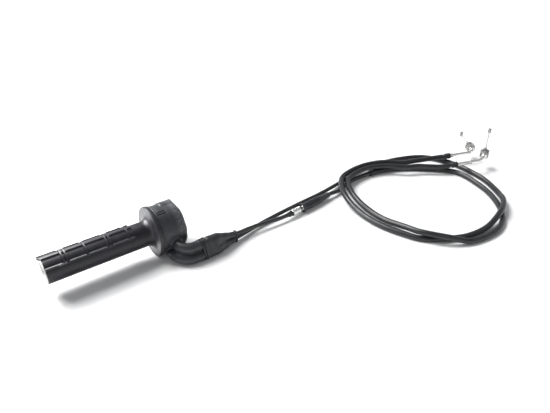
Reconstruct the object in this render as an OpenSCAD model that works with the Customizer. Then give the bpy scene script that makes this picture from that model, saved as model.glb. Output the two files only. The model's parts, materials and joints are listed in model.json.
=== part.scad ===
// Twin-cable twist throttle for a 7/8 inch handlebar, lying as it rests on a flat table.
// The handlebar axis is X, with +X towards the middle of the handlebar. +Z is up.
// The origin is on the handlebar axis at the middle of the housing's clamp bore.
// Millimetres throughout.

/* [Handlebar] */
// Diameter of the handlebar that the housing clamps
bar_d = 22.2; // [22:0.1:22.3]

/* [Throttle tube and grip] */
// Radial play of the throttle tube on the handlebar
tube_play = 0.2; // [0.1:0.05:0.25]
// Wall thickness of the throttle tube
tube_wall = 1.4; // [1.2:0.1:1.5]
// Length of the rubber grip from the face of its flange to its outboard end
grip_len = 113; // [100:1:125]
// Diameter of the grip over its raised ribs
grip_d = 32; // [31:0.5:34]
// Diameter of the grip's flange
flange_d = 57; // [54:0.5:57]
// Distance between neighbouring rings of the waffle pattern
waffle_pitch = 22.4; // [20:0.2:23]
// Radius at which the inner wires lie on the drum
drum_r = 15; // [14.6:0.1:15]

/* [Housing] */
// Outside diameter of the metal housing
housing_d = 48; // [47.6:0.1:48]
// Thickness of the rubber cover round the housing
cover_wall = 2.2; // [1.6:0.1:2.4]
// Angle by which the cable outlets point below the horizontal
outlet_drop = 9; // [8:0.5:9.5]

/* [Cables] */
// Diameter of the steel inner wires
wire_d = 1.5; // [1.2:0.1:1.5]
// Outside diameter of the cable conduits
conduit_d = 5; // [4.8:0.1:5]
// Outside diameter of the sleeves that protect the looped part of the cables
sleeve_d = 7; // [6.4:0.1:7]
// Outside diameter of the metal guide tubes at the housing
guide_d = 7; // [6.6:0.1:7]
// Middle of the loop that the cables lie in
loop_centre = [309, -102];

/* [Adjuster] */
// Place of the front end of the adjuster on the pull cable
adjuster_at = [142, -36.5, -22.3];
// Direction of the pull cable at the adjuster, measured from X
adjuster_yaw = 5.5; // [4:0.5:7]

/* [Carburettor ends] */
// Place, heading, climb and roll of the pull cable's end fitting
pull_end = [[401, -85, -14.8], -32, 7.5, 8];
// Place, heading, climb and roll of the push cable's end fitting
push_end = [[416, -61, -15.3], -30, 6, 3];
// Straight length, bend radius and bend angle of the pull elbow
pull_elbow_shape = [29, 16, 60.5];
// Straight length, bend radius and bend angle of the push elbow
push_elbow_shape = [29, 9, 84];
// Diameter of the threaded tips that the carburettor bracket holds
tip_d = 7.8; // [7.6:0.1:8]
// Length of pull wire outside its tip when the throttle is closed
pull_exposed = 44; // [32:1:45]
// Length of push wire outside its tip when the throttle is closed
push_exposed = 24; // [14:1:28]

/* [Hidden] */
$fn = 64;

eps = 0.01;
gap = 0.1;           // clearance between neighbouring pieces
glue = 0.05;         // room for the glue between grip and tube

// Places along the handlebar
clamp_half = 5;                          // half the length of the clamp bore
housing_x = [-20, clamp_half];           // outboard and inboard faces of the housing
chamber_x = [-18.1, -clamp_half];        // drum chamber inside it
washer_x = [-21.1, housing_x[0] - gap];
tube_flange_x = [washer_x[0] - gap - 2, washer_x[0] - gap];
grip_x1 = tube_flange_x[0] - glue;       // back face of the grip's flange
flange_w = 5;                            // thickness of the grip's flange
grip_x0 = grip_x1 - flange_w;            // its outboard face
grip_end = grip_x0 - grip_len;
tube_end = grip_end - 1;

bar_r = bar_d / 2;
tube_bore_r = bar_r + tube_play;
tube_r = tube_bore_r + tube_wall;
housing_r = housing_d / 2;
chamber_r = 20.2;
drum_lip_r = 18.8;
throttle_turn = 75;                      // twist from closed to wide open

// The two cables of the throttle: place along X, height and bend radius in the outlet frame
pull_x = -9.3;
push_x = -14.9;
pull_z = -4.5;
push_z = -drum_r;
bend_y = 29;                             // where the guide tubes start to bend
pull_bend = 12.5;
push_bend = pull_bend + pull_x - push_x;
bend_x = pull_x + pull_bend;             // common middle of both bends
guide_end = 26;                          // end of the guide tubes along X
crimp = 7;                               // length of conduit held inside a guide tube
wire_r = wire_d / 2;
conduit_r = conduit_d / 2;
conduit_bore = wire_r + 0.4;
sleeve_r = sleeve_d / 2;
guide_r = guide_d / 2;
tip_r = tip_d / 2;
tip_len = 22;                            // length of a tip with its plain nose
table_z = -flange_d / 2;                 // the flat surface that the assembly rests on

// ---------- Small helpers ----------

module ring(r_out, r_in, h) {
    difference() {
        cylinder(r = r_out, h = h);
        translate([0, 0, -eps]) cylinder(r = r_in, h = h + 2 * eps);
    }
}

// A ring or a solid of revolution along X, from x0 to x1
module ring_x(x0, x1, r_out, r_in) {
    translate([x0, 0, 0]) rotate([0, 90, 0]) ring(r_out, r_in, x1 - x0);
}

module rod_x(x0, x1, r) {
    translate([x0, 0, 0]) rotate([0, 90, 0]) cylinder(r = r, h = x1 - x0);
}

// A hexagonal nut along X with its bore
module nut_x(x0, x1, across_flats, bore_r) {
    translate([x0, 0, 0]) rotate([0, 90, 0]) difference() {
        intersection() {
            cylinder(d = across_flats / cos(30), h = x1 - x0, $fn = 6);
            cylinder(r = across_flats / 2 + 0.55, h = x1 - x0);
        }
        translate([0, 0, -eps]) cylinder(r = bore_r, h = x1 - x0 + 2 * eps);
    }
}

// The frame in which the cables leave the housing along -Y
module outlet_frame() {
    rotate([outlet_drop, 0, 0]) children();
}

function outlet_to_part(p) = let (c = cos(outlet_drop), s = sin(outlet_drop))
    [p[0], p[1] * c - p[2] * s, p[1] * s + p[2] * c];

// ---------- Paths of the cables ----------

function unit(v) = v / norm(v);
function catmull(a, b, c, d, t) =
    0.5 * (2 * b + (c - a) * t + (2 * a - 5 * b + 4 * c - d) * t * t + (3 * b - a - 3 * c + d) * t * t * t);
function spline(rows, steps) = let (n = len(rows))
    concat([for (i = [1 : n - 3]) for (k = [0 : steps - 1])
        catmull(rows[i - 1], rows[i], rows[i + 1], rows[i + 2], k / steps)], [rows[n - 2]]);

// Both cables run as a pair. A row holds the middle of the pair in X and Y, the height of the lower
// cable, the gap between their axes and the twist of the pull cable about the push cable: at 0 it
// lies above it, at 90 to the right of it.
pull_port = outlet_to_part([0, -(bend_y + pull_bend), pull_z]);
push_port = outlet_to_part([0, -(bend_y + push_bend), push_z]);
port_mid = (pull_port + push_port) / 2;
port_gap = norm(pull_port - push_port);
port_twist = atan2(push_port[1] - pull_port[1], pull_port[2] - push_port[2]);
function port_row(x) = [x, port_mid[1], push_port[2], port_gap, port_twist];

function adjuster_row(s, apart, drop = 0) = let (a = adjuster_yaw)
    [adjuster_at[0] + s * cos(a) - apart / 2 * sin(a), adjuster_at[1] + s * sin(a) + apart / 2 * cos(a),
     adjuster_at[2] - drop, apart, 90];

function loop_row(angle, r, z, apart, twist) =
    [loop_centre[0] + r * cos(angle), loop_centre[1] + r * sin(angle), z, apart, twist];

low = table_z + sleeve_r;                // height of a sleeve that lies on the table
high = low + sleeve_d + 0.7;             // height of a sleeve that lies on another one
touch = sleeve_d + 0.6;                  // gap between axes where one sleeve crosses the other

port_rows = [for (x = [guide_end - 3 * crimp : crimp : guide_end + crimp]) port_row(x)];
lead_rows = [[59, -37.5, -24.2, 6.4, 5], [98, -32, -24.8, 6.2, 55]];
adjuster_rows = [adjuster_row(-20, 8.2, 1.2), for (s = [-8, 0, 28]) adjuster_row(s, 9.6),
    adjuster_row(72, 8.4), adjuster_row(86, 7.6, 2)];
loop_rows = [
    [262, -13, -25.8, 7.4, 90],
    loop_row(98, 90.5, low + 0.5, 12, 90),
    loop_row(76, 88.5, low + 0.5, 20, 90),
    loop_row(56, 91, low, 30, 90),
    loop_row(38, 96.5, low, 37, 90),
    loop_row(22, 99.5, low, 30, 90),
    loop_row(6, 100, low, 18, 90),
    loop_row(-14, 97, low, 16.5, 90),
    loop_row(-36, 96.5, low, 11, 100),
    loop_row(-61, 98.5, low, touch, 180),
    loop_row(-85, 101, low, 10.5, 262),
    loop_row(-111, 102.5, low, 10, 275),
    loop_row(-137, 100, low, touch, 360),
    loop_row(-152, 94.5, low, 8.6, 410),
    loop_row(-171, 90.5, low, 12.5, 445),
    loop_row(-191, 92, low + 2, 13, 450),
    loop_row(-211, 98.5, high - 0.5, 11, 450),
    loop_row(-236, 103, high, 9, 450),
    loop_row(-262, 92, high + 0.6, 9, 450),
    loop_row(-282, 81, high + 0.6, 12, 450),
    loop_row(-298, 72.5, high, 13.5, 450),
    loop_row(-312, 76, high, 15.5, 450),
    loop_row(-324, 83, high, 19.5, 450),
];
shared_rows = concat(port_rows, lead_rows, adjuster_rows, loop_rows);

steps = 2;
pair = spline(shared_rows, steps);
function heading(list, i) = unit(list[min(i + 1, len(list) - 1)] - list[max(i - 1, 0)]);
middle = [for (row = pair) [row[0], row[1], row[2] + row[3] / 2 * abs(cos(row[4]))]];
function beside(i, side) = let (t = heading(middle, i), right = unit(cross(t, [0, 0, 1])),
    up = cross(right, t), twist = pair[i][4])
    middle[i] + side * pair[i][3] / 2 * (sin(twist) * right + cos(twist) * up);

// The last stretch of each cable runs straight into its end fitting
function end_heading(end) = let (yaw = end[1], climb = end[2])
    [cos(climb) * cos(yaw), cos(climb) * sin(yaw), sin(climb)];
function tail(last, end) = let (goal = end[0], back = end_heading(end))
    spline([last[0], last[1], goal - 24 * back, goal - 9 * back, goal + 6 * back, goal + 21 * back], steps);
function cable(side, end) = let (shared = [for (i = [0 : len(pair) - 1]) beside(i, side)],
    n = len(shared))
    concat([for (i = [0 : n - 2]) shared[i]], tail([shared[n - 1 - steps], shared[n - 1]], end));

pull_path = cable(1, pull_end);
push_path = cable(-1, push_end);

// Stations of the paths at which pieces start and stop
function station(row) = (row - 1) * steps;
conduit_start = station(2);
boot_tip = station(len(port_rows));
adjuster_first = len(port_rows) + len(lead_rows);
front_stop = station(adjuster_first + 2);
rear_start = station(adjuster_first + 3);
pull_sleeve_start = station(adjuster_first + len(adjuster_rows) + 1);
push_sleeve_start = pull_sleeve_start + 1;
function part_of(list, a, b) = [for (i = [a : b]) list[i]];

function ring_of(list, i, r, sides) = let (t = heading(list, i),
    left = unit(cross([0, 0, 1], t)), up = cross(t, left))
    [for (k = [0 : sides - 1]) list[i] + r * (cos(360 * k / sides) * left + sin(360 * k / sides) * up)];
function wall(first, rings, sides, outward) = [for (i = [0 : rings - 2]) for (k = [0 : sides - 1])
    let (a = first + i * sides + k, b = first + i * sides + (k + 1) % sides, c = b + sides, d = a + sides)
    each outward ? [[d, c, b], [d, b, a]] : [[b, c, d], [a, b, d]]];

// A round rod along a path
module swept_rod(list, r, sides) {
    n = len(list);
    polyhedron(
        points = [for (i = [0 : n - 1]) each ring_of(list, i, r, sides)],
        faces = concat([[for (k = [0 : sides - 1]) k]], wall(0, n, sides, true),
            [[for (k = [sides - 1 : -1 : 0]) (n - 1) * sides + k]]),
        convexity = 8);
}

// A hose from its outer and its inner rings of points
module hose(outer_rings, inner_rings, n, sides) {
    inner = n * sides;
    last = (n - 1) * sides;
    polyhedron(
        points = concat(outer_rings, inner_rings),
        faces = concat(wall(0, n, sides, true), wall(inner, n, sides, false),
            [for (k = [0 : sides - 1]) let (m = (k + 1) % sides) [k, m, inner + m, inner + k]],
            [for (k = [0 : sides - 1]) let (m = (k + 1) % sides)
                [last + m, last + k, inner + last + k, inner + last + m]]),
        convexity = 8);
}

// A hose along a path
module swept_hose(list, r_out, r_in, sides) {
    n = len(list);
    hose([for (i = [0 : n - 1]) each ring_of(list, i, r_out, sides)],
        [for (i = [0 : n - 1]) each ring_of(list, i, r_in, sides)], n, sides);
}

cable_sides = 10;
wire_sides = 6;

// ---------- Inner wires inside the housing and the elbows ----------

// The pull wire leaves its guide tube, turns up round the tube's mouth and meets the top of the drum
mouth_r = 2;
mouth_mid = [-19.6, pull_z + mouth_r];
mouth_slope = atan2(-mouth_mid[1], -mouth_mid[0]) + asin((drum_r + mouth_r) / norm(mouth_mid));
pull_tangent = mouth_slope + 90;         // angle on the drum where the pull wire meets it
push_tangent = 270;                      // and where the push wire does
bend_steps = 8;
function guide_bend(r, z) = [for (k = [0 : bend_steps]) let (a = 180 + 90 * k / bend_steps)
    outlet_to_part([bend_x + r * cos(a), -bend_y + r * sin(a), z])];
pull_inside = concat(
    [let (a = pull_tangent) outlet_to_part([pull_x, drum_r * cos(a) - 0.4 * cos(mouth_slope),
        drum_r * sin(a) - 0.4 * sin(mouth_slope)])],
    [for (k = [3 : -1 : 0]) let (a = mouth_slope * k / 3 - 90)
        outlet_to_part([pull_x, mouth_mid[0] + mouth_r * cos(a), mouth_mid[1] + mouth_r * sin(a)])],
    guide_bend(pull_bend, pull_z));
push_inside = concat([outlet_to_part([push_x, -0.6, push_z])], guide_bend(push_bend, push_z));

function turn_x(p, a) = [p[0], p[1] * cos(a) - p[2] * sin(a), p[1] * sin(a) + p[2] * cos(a)];
function turn_y(p, a) = [p[0] * cos(a) + p[2] * sin(a), p[1], p[2] * cos(a) - p[0] * sin(a)];
function turn_z(p, a) = [p[0] * cos(a) - p[1] * sin(a), p[0] * sin(a) + p[1] * cos(a), p[2]];
function end_to_part(end, p) = end[0] + turn_z(turn_y(turn_x(p, end[3]), -end[2]), end[1]);
function elbow_points(end, shape) = concat([end_to_part(end, [shape[0] - 2, 0, 0])],
    [for (k = [0 : bend_steps]) let (a = shape[2] * k / bend_steps)
        end_to_part(end, [shape[0] + shape[1] * sin(a), shape[1] * (1 - cos(a)), 0])]);

module end_frame(end) {
    translate(end[0]) rotate([0, 0, end[1]]) rotate([0, -end[2], 0]) rotate([end[3], 0, 0]) children();
}

// X along the threaded tip, from the end of the elbow's bend
module tip_frame(end, shape) {
    end_frame(end)
        translate([shape[0] + shape[1] * sin(shape[2]), shape[1] * (1 - cos(shape[2])), 0])
        rotate([0, 0, shape[2]]) children();
}

// ---------- Grip and throttle tube ----------

palm_start = 36;                         // the waffle pattern covers the palm's half of the grip
rib_step = 47.5;                         // angle between its lengthwise ribs
palm_arc = 4 * rib_step;
rib_w = 1.8;
rib_pair = [-0.9, 2.9];                  // places of a double ring's two ribs about its station

// A raised ring on the palm's half of the grip
module palm_ring(x, base_r) {
    rotate([-palm_start, 0, 0]) rotate([90, 0, 90]) rotate_extrude(angle = palm_arc)
        translate([base_r - 0.5, x - rib_w / 2]) square([grip_d / 2 - base_r + 0.5, rib_w]);
}

module grip_rubber() {
    bore = tube_r + glue;
    base_r = grip_d / 2 - 1.7;
    neck = waffle_pitch * 1.165;
    ring_at = [for (k = [0 : 3]) grip_x0 - neck - k * waffle_pitch];
    fillet = 7;
    stub = 6;                            // the lengthwise ribs run on past the first ring
    color("#24242a") difference() {
        union() {
            rod_x(grip_end, grip_x1, base_r);
            rod_x(grip_x0, grip_x1, flange_d / 2);
            // fillet between the neck and the flange
            rotate([0, -90, 0]) translate([0, 0, -grip_x0]) rotate_extrude() difference() {
                square([base_r + fillet, fillet]);
                translate([base_r + fillet, fillet]) circle(r = fillet);
            }
            for (x = [ring_at[0], ring_at[2]]) palm_ring(x, base_r);
            for (x = [ring_at[1], ring_at[3]]) for (shift = rib_pair) palm_ring(x + shift, base_r);
            for (k = [0 : 4]) rotate([-palm_start - k * rib_step, 0, 0])
                translate([grip_end, 0.1 - grip_d / 2, -rib_w / 2])
                cube([ring_at[0] + stub - grip_end, grip_d / 2 - base_r + 0.5, rib_w]);
        }
        rod_x(grip_end - 1, grip_x1 + 1, bore);
    }
}

module throttle_tube() {
    groove_r = drum_r - wire_r - 0.05;
    tube_flange_r = housing_r - 0.6;
    drum_x = [chamber_x[0] + 0.2, chamber_x[1] - 0.3];
    color("#d9d8d0") outlet_frame() difference() {
        union() {
            rod_x(tube_end, drum_x[1], tube_r);
            rod_x(tube_flange_x[0], tube_flange_x[1], tube_flange_r);
            rod_x(drum_x[0], drum_x[1], drum_lip_r);
        }
        rod_x(tube_end - 1, drum_x[1] + 1, tube_bore_r);
        for (x = [pull_x, push_x]) ring_x(x - 1.1, x + 1.1, drum_lip_r + 1, groove_r);
        nipple_seat(pull_x, pull_nipple_angle, nipple_r + gap);
        nipple_seat(push_x, push_nipple_angle, nipple_r + gap);
    }
}

nipple_r = 2.7;
drum_nipple_len = 4.4;
pull_nipple_angle = pull_tangent - 70;
push_nipple_angle = push_tangent + throttle_turn + 25;

// The barrel-shaped place of a nipple in the drum
module nipple_seat(x, angle, r, len = drum_nipple_len + 2 * gap) {
    rotate([angle, 0, 0]) translate([x - len / 2, drum_r, 0]) rotate([0, 90, 0]) cylinder(r = r, h = len);
}

module pull_drum_nipple() {
    color("#c9a24a") outlet_frame() nipple_seat(pull_x, pull_nipple_angle, nipple_r, drum_nipple_len);
}

module push_drum_nipple() {
    color("#c9a24a") outlet_frame() nipple_seat(push_x, push_nipple_angle, nipple_r, drum_nipple_len);
}

// The length of inner wire that stays wrapped on the drum, between angles a and b
module wrapped_wire(x, a, b) {
    outlet_frame() rotate([a, 0, 0]) translate([x, 0, 0]) rotate([90, 0, 90])
        rotate_extrude(angle = b - a) translate([drum_r, 0]) circle(r = wire_r);
}

nipple_half_angle = asin((nipple_r + gap) / drum_r);

module pull_drum_wire() {
    color("#9a9c9e") wrapped_wire(pull_x, pull_nipple_angle + nipple_half_angle, pull_tangent);
}

module push_drum_wire() {
    color("#9a9c9e") wrapped_wire(push_x, push_tangent + throttle_turn,
        push_nipple_angle - nipple_half_angle);
}

module thrust_washer() {
    color("#e8e6da") ring_x(washer_x[0], washer_x[1], 23, tube_r + 2 * gap);
}

// ---------- Housing ----------

screw_y = 17.5;
screw_r = 2.5;
screw_floor = 5.5;
head_r = 3.8;
head_h = 4;
screw_end = -12;
split = 0.3;

module housing_hollow() {
    rod_x(chamber_x[0], chamber_x[1], chamber_r);
    rod_x(housing_x[0] - 1, chamber_x[0] + 1, tube_r + 0.15);
    rod_x(chamber_x[1] - 1, housing_x[1] + 1, bar_r);
}

shoulder = 2.5;                          // chamfer on the inboard edge of the housing

// A round body along X whose inboard edge is chamfered
module chamfered_x(x0, x1, r, chamfer) {
    rod_x(x0, x1 - chamfer, r);
    translate([x1 - chamfer, 0, 0]) rotate([0, 90, 0]) cylinder(r1 = r, r2 = r - chamfer, h = chamfer);
}

module half_space(top) {
    translate([-60, -60, top ? split : -60 - split]) cube([120, 120, 60]);
}

module housing_upper() {
    color("#8b8e91") outlet_frame() difference() {
        intersection() {
            chamfered_x(housing_x[0], housing_x[1], housing_r, shoulder);
            half_space(true);
        }
        housing_hollow();
        for (side = [-1, 1]) translate([0, side * screw_y, 0]) {
            cylinder(r = screw_r + 0.2, h = 30);
            translate([0, 0, screw_floor]) cylinder(r = head_r + 0.3, h = 30);
        }
    }
}

module outlet_bore(x, z, r, from, to) {
    translate([x, -from, z]) rotate([90, 0, 0]) cylinder(r = r, h = to - from);
}

pull_mouth = 19.8;
push_mouth = 16.4;
boss_end = bend_y - 0.1;

module housing_lower() {
    color("#8b8e91") outlet_frame() difference() {
        union() {
            intersection() {
                chamfered_x(housing_x[0], housing_x[1], housing_r, shoulder);
                half_space(false);
            }
            intersection() {
                union() {
                    outlet_bore(pull_x, pull_z, 5.2, 12, boss_end);
                    outlet_bore(push_x, push_z, 5.2, 12, boss_end);
                }
                half_space(false);
                rod_x(housing_x[0], housing_x[1], boss_end + 20);
            }
        }
        housing_hollow();
        outlet_bore(pull_x, pull_z, guide_r + glue, 12, boss_end + 1);
        outlet_bore(push_x, push_z, guide_r + glue, 12, boss_end + 1);
        for (side = [-1, 1]) translate([0, side * screw_y, screw_end - 1])
            cylinder(r = screw_r + glue, h = 20);
    }
}

module housing_screws() {
    color("#b9bcbe") outlet_frame() for (side = [-1, 1]) translate([0, side * screw_y, 0])
        difference() {
            union() {
                translate([0, 0, screw_end]) cylinder(r = screw_r, h = screw_floor + gap - screw_end);
                translate([0, 0, screw_floor + gap]) cylinder(r = head_r, h = head_h);
            }
            translate([0, 0, screw_floor + 1.6]) cylinder(d = 4.6, h = head_h, $fn = 6);
        }
}

// A straight run along -Y, a quarter turn and a straight run along X, as the guide tubes lie
module outlet_run(x, z, bend, r, from, to) {
    outlet_bore(x, z, r, from, bend_y);
    translate([bend_x, -bend_y, z]) rotate([0, 0, 180])
        rotate_extrude(angle = 90) translate([bend, 0]) circle(r = r);
    translate([bend_x, -bend_y - bend, z]) rotate([0, 90, 0]) cylinder(r = r, h = to - bend_x);
}

lobe_r = 5.8;
lobe_end = 11;
cover_r = housing_r + 0.15 + cover_wall;
cover_x = [grip_x1 + 0.25, housing_x[1] + 0.15 + 1.3];
rim = [2.2, 0.9];                        // width and height of the raised rim beside the grip

module housing_cover() {
    color("#4b4e52") outlet_frame() difference() {
        union() {
            chamfered_x(cover_x[0], cover_x[1], cover_r, shoulder + 0.55);
            rod_x(cover_x[0], cover_x[0] + rim[0], cover_r + rim[1]);
            outlet_run(pull_x, pull_z, pull_bend, lobe_r, 18, lobe_end);
            outlet_run(push_x, push_z, push_bend, lobe_r, 14, lobe_end);
        }
        chamfered_x(cover_x[0] - 1, housing_x[1] + 0.15, housing_r + 0.15, shoulder);
        rod_x(0, cover_x[1] + 1, bar_r + 0.5);
        outlet_bore(pull_x, pull_z, 5.35, 12, boss_end + 0.3);
        outlet_bore(push_x, push_z, 5.35, 12, boss_end + 0.3);
        outlet_run(pull_x, pull_z, pull_bend, guide_r + 0.15, 12, lobe_end + 1);
        outlet_run(push_x, push_z, push_bend, guide_r + 0.15, 12, lobe_end + 1);
        // two short grooves moulded in the upper front
        for (a = [66, 72.5]) rotate([-outlet_drop - a, 0, 0])
            translate([cover_x[0] + 2.3, -cover_r - 1, -0.6]) cube([10.4, 1.9, 1.2]);
    }
}

// ---------- Guide tubes and dust boot ----------

module guide_tube(x, z, bend, mouth) {
    color("#55585a") outlet_frame() difference() {
        outlet_run(x, z, bend, guide_r, mouth, guide_end);
        outlet_run(x, z, bend, conduit_bore, mouth - 1, guide_end - crimp + gap);
        translate([guide_end - crimp - gap, -bend_y - bend, z]) rotate([0, 90, 0])
            cylinder(r = conduit_r + glue, h = crimp + 1);
    }
}

module pull_guide_tube() {
    guide_tube(pull_x, pull_z, pull_bend, pull_mouth);
}

module push_guide_tube() {
    guide_tube(push_x, push_z, push_bend, push_mouth);
}

boot_sides = 20;
boot_start = lobe_end + 0.3;

// An oblong ring of points round both cables, square to X
function pair_ring(x, pull, push, r) = let (turn = atan2(pull[2] - push[2], pull[1] - push[1]))
    [for (k = [0 : boot_sides - 1]) let (a = turn - 90 + 360 * (k + 0.5) / boot_sides,
        middle = k < boot_sides / 2 ? pull : push) [x, middle[1] + r * cos(a), middle[2] + r * sin(a)]];

// The boot's mouth with its two beads and its shoulder: place along X, outer and inner radius
boot_mouth = [[boot_start, 6, 4], [boot_start + 1.6, 6, 4], [boot_start + 2.1, 5.4, 4],
    [boot_start + 2.7, 5.4, 4], [boot_start + 3.2, 6, 4], [boot_start + 4.8, 6, 4],
    [boot_start + 5.3, 5.4, 4], [boot_start + 9, 6, 4], [boot_start + 14, 5.7, 4]];
// Its taper: place along the cables' stations, outer and inner radius
boot_taper = [[boot_tip - 2, 5, 3.8], [boot_tip - 1, 4.3, 3.4], [boot_tip - 0.2, 3.7, 2.9],
    [boot_tip - 0.15, 4.2, 2.9], [boot_tip, 4.2, 2.9]];
function along(list, s) = let (i = ceil(s) - 1) list[i] + (s - i) * (list[i + 1] - list[i]);
function boot_rings(column) = [
    for (m = boot_mouth) each pair_ring(m[0], pull_port, push_port, m[column]),
    for (m = boot_taper) let (pull = along(pull_path, m[0]), push = along(push_path, m[0]))
        each pair_ring(pull[0], pull, push, m[column]),
];

module dust_boot() {
    color("#3a3c40") hose(boot_rings(1), boot_rings(2), len(boot_mouth) + len(boot_taper), boot_sides);
}

// ---------- Cables ----------

module pull_wire() {
    color("#9a9c9e") swept_rod(concat(pull_inside, part_of(pull_path, 0, len(pull_path) - 2),
        elbow_points(pull_end, pull_elbow_shape)), wire_r, wire_sides);
}

module push_wire() {
    color("#9a9c9e") swept_rod(concat(push_inside, part_of(push_path, 0, len(push_path) - 2),
        elbow_points(push_end, push_elbow_shape)), wire_r, wire_sides);
}

module conduit(list) {
    color("#3c3e40") swept_hose(list, conduit_r, conduit_bore, cable_sides);
}

module pull_conduit_front() {
    conduit(part_of(pull_path, conduit_start, front_stop));
}

module pull_conduit_rear() {
    conduit(part_of(pull_path, rear_start, len(pull_path) - 2));
}

module push_conduit() {
    conduit(part_of(push_path, conduit_start, len(push_path) - 2));
}

module sleeve(list, start) {
    color("#2e2f32") swept_hose(part_of(list, start, len(list) - 3), sleeve_r, conduit_r + gap,
        cable_sides);
}

module pull_sleeve() {
    sleeve(pull_path, pull_sleeve_start);
}

module push_sleeve() {
    sleeve(push_path, push_sleeve_start);
}

// A ring round a path, just after one of its stations
module band(list, i) {
    t = unit(list[i + 1] - list[i]);
    translate(list[i]) rotate([0, 0, atan2(t[1], t[0])]) rotate([0, -asin(t[2]), 0])
        ring_x(0.5, 3.5, sleeve_r + 0.5, sleeve_r + gap);
}

module sleeve_bands() {
    color("#161618") {
        band(pull_path, pull_sleeve_start);
        band(push_path, push_sleeve_start);
    }
}

// ---------- Adjuster in the pull cable ----------

module adjuster_frame() {
    translate(adjuster_at) rotate([0, 0, adjuster_yaw]) children();
}

screw_thread_r = 2.75;

module adjuster_ferrule() {
    color("#1d1d20") adjuster_frame() difference() {
        rod_x(-5.5, 1, 3.9);
        rod_x(-6, gap, conduit_r + gap);
        rod_x(0, 2, conduit_bore);
    }
}

module adjuster_barrel() {
    color("#c8cacb") adjuster_frame() difference() {
        rod_x(1 + gap, 13, 4.2);
        rod_x(0, 14, conduit_bore);
        rod_x(4.5, 14, screw_thread_r + gap);
        for (x = [3 : 2.5 : 10.5]) ring_x(x, x + 0.9, 5, 3.9);
    }
}

module adjuster_lock_nut() {
    color("#c8cacb") adjuster_frame() nut_x(13.2, 16, 7.6, screw_thread_r + gap);
}

module adjuster_screw() {
    color("#c8cacb") adjuster_frame() difference() {
        union() {
            rod_x(5, 20, screw_thread_r);
            rod_x(19, 34, 3.5);
        }
        rod_x(4, 29, conduit_bore);
        rod_x(28 - gap, 35, conduit_r + gap);
    }
}

module adjuster_boot() {
    color("#2a2b2e") adjuster_frame() rotate([0, 90, 0]) rotate_extrude() polygon([
        [4.6, 17.5], [6.2, 17.5], [6.2, 20], [5.2, 21], [5.2, 47], [3.5, 66],
        [conduit_r + 0.2, 66], [conduit_r + 0.2, 48.5], [4.6, 48]]);
}

// ---------- Carburettor ends ----------

module end_cap(end) {
    color("#161618") end_frame(end) ring_x(-7.2, 1.5, 4.1, conduit_r + gap);
}

module pull_end_cap() {
    end_cap(pull_end);
}

module push_end_cap() {
    end_cap(push_end);
}

elbow_r = 2.4;
lap = 0.3;                               // the straight lengths run on into the bend by this
bend_swell = 0.02;                       // the bend is this much fatter than they are
thread_len = 13.5;                       // a tip's threaded part, before its plain nose
nose_r = 1.9;

module elbow_bend(shape, r) {
    translate([shape[0], shape[1], 0]) rotate([0, 0, -90])
        rotate_extrude(angle = shape[2]) translate([shape[1], 0]) circle(r = r);
}

module elbow(end, shape, swage_at) {
    color("#c8cacb") difference() {
        union() {
            end_frame(end) {
                rod_x(-0.7, shape[0] + lap, elbow_r);
                rod_x(swage_at, swage_at + 3.5, elbow_r + 0.6);
                elbow_bend(shape, elbow_r + bend_swell);
            }
            tip_frame(end, shape) {
                rod_x(-lap, thread_len, tip_r);
                rod_x(thread_len - lap, tip_len, nose_r);
            }
        }
        end_frame(end) {
            rod_x(-1, shape[0] + lap, conduit_bore);
            elbow_bend(shape, conduit_bore + bend_swell);
        }
        tip_frame(end, shape) rod_x(-lap, tip_len + 1, conduit_bore);
    }
}

module pull_elbow() {
    elbow(pull_end, pull_elbow_shape, 20);
}

module push_elbow() {
    elbow(push_end, push_elbow_shape, 2.5);
}

nut_flats = 12;
nut_h = 4;
inner_nut_x = 2.5;
outer_nut_x = inner_nut_x + nut_h + 1.5; // the bracket's plate goes between the nuts

module end_nut(end, shape, x) {
    color("#b4b6b6") tip_frame(end, shape) nut_x(x, x + nut_h, nut_flats, tip_r + gap);
}

module pull_inner_nut() {
    end_nut(pull_end, pull_elbow_shape, inner_nut_x);
}

module pull_outer_nut() {
    end_nut(pull_end, pull_elbow_shape, outer_nut_x);
}

module push_inner_nut() {
    end_nut(push_end, push_elbow_shape, inner_nut_x);
}

module push_outer_nut() {
    end_nut(push_end, push_elbow_shape, outer_nut_x);
}

end_nipple_r = 2.5;
end_nipple_len = 6.4;

// The length of inner wire that slides in and out of a tip
module wire_tip(end, shape, from, exposed) {
    color("#9a9c9e") tip_frame(end, shape) rod_x(from, tip_len + exposed - gap, wire_r);
}

module end_nipple(end, shape, exposed) {
    color("#b4b6b6") tip_frame(end, shape)
        translate([tip_len + exposed + end_nipple_r, 0, -end_nipple_len / 2])
        cylinder(r = end_nipple_r, h = end_nipple_len);
}

module pull_wire_tip() {
    wire_tip(pull_end, pull_elbow_shape, tip_len - 1.3, pull_exposed);
}

module push_wire_tip() {
    wire_tip(push_end, push_elbow_shape, 0.8, push_exposed);
}

module pull_nipple() {
    end_nipple(pull_end, pull_elbow_shape, pull_exposed);
}

module push_nipple() {
    end_nipple(push_end, push_elbow_shape, push_exposed);
}

grip_rubber();
throttle_tube();
thrust_washer();
housing_upper();
housing_lower();
housing_screws();
housing_cover();
pull_drum_nipple();
push_drum_nipple();
pull_drum_wire();
push_drum_wire();
pull_guide_tube();
push_guide_tube();
dust_boot();
pull_wire();
push_wire();
pull_conduit_front();
pull_conduit_rear();
push_conduit();
pull_sleeve();
push_sleeve();
sleeve_bands();
adjuster_ferrule();
adjuster_barrel();
adjuster_screw();
adjuster_lock_nut();
adjuster_boot();
pull_end_cap();
push_end_cap();
pull_elbow();
push_elbow();
pull_inner_nut();
pull_outer_nut();
push_inner_nut();
push_outer_nut();
pull_wire_tip();
push_wire_tip();
pull_nipple();
push_nipple();
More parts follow.
